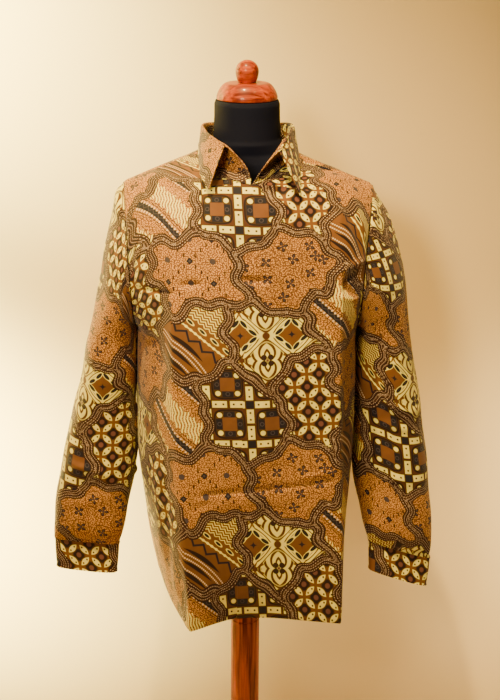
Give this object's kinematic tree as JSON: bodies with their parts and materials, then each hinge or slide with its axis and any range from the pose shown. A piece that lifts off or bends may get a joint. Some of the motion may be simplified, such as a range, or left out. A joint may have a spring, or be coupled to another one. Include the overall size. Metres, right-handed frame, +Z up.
{
  "type": "long-sleeved batik shirt on a dress form stand",
  "caption": "Long-sleeved batik shirt with a turned-down collar and a covered front, hanging on a limbless dress form with a turned wooden stand.",
  "frame": {"origin": "centre of the base's flat underside, on the floor under the pole", "axes": "+Z up along the pole, -Y the way the front of the shirt faces, +X to the right as seen from the front"},
  "size_m": [0.6615, 0.42, 1.5868],
  "materials": {
    "batik_cotton": "printed batik cotton, plain weave, slight starch sheen",
    "form_cloth": "stretched matt black jersey",
    "turned_wood": "turned, stained and gloss varnished"
  },
  "bodies": {
    "root": {"front_over": "batik_cotton", "front_under": "batik_cotton", "back": "batik_cotton", "sleeve_left": "batik_cotton", "sleeve_right": "batik_cotton", "cuff_left": "batik_cotton", "cuff_right": "batik_cotton", "collar_stand": "batik_cotton", "collar_leaf": "batik_cotton", "form_torso": "form_cloth", "neck_cap": "turned_wood", "finial": "turned_wood", "pole": "turned_wood", "base": "turned_wood"}
  },
  "joints": []
}
